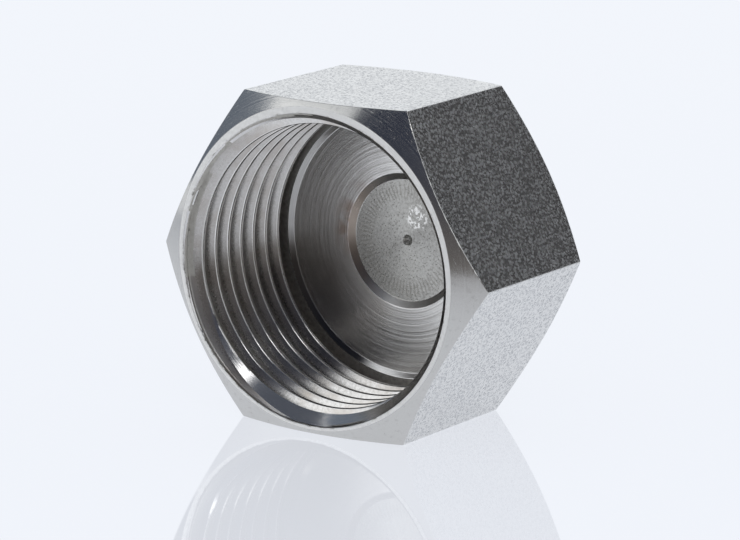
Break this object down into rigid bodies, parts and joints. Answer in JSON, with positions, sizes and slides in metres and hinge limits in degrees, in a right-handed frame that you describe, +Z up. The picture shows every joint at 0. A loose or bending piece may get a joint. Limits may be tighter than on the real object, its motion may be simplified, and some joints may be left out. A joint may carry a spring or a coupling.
{
  "type": "threaded protection cap",
  "caption": "Hexagonal metal screw cap with a blind female thread that closes and protects a threaded pipe or fitting end.",
  "frame": {"origin": "on the surface the cap lies on, under the middle of its bounding box", "axes": "+Z up through two flats, Y along the thread's axis with the open mouth facing -Y and the closed end +Y, X across two corners"},
  "size_m": [0.0322, 0.0172, 0.028],
  "materials": {
    "stainless_steel": "drawn and pickled flats with a fine pitted grain, turned ends and floor, cut thread"
  },
  "bodies": {
    "root": {"hexagon_cap": "stainless_steel"}
  },
  "joints": []
}
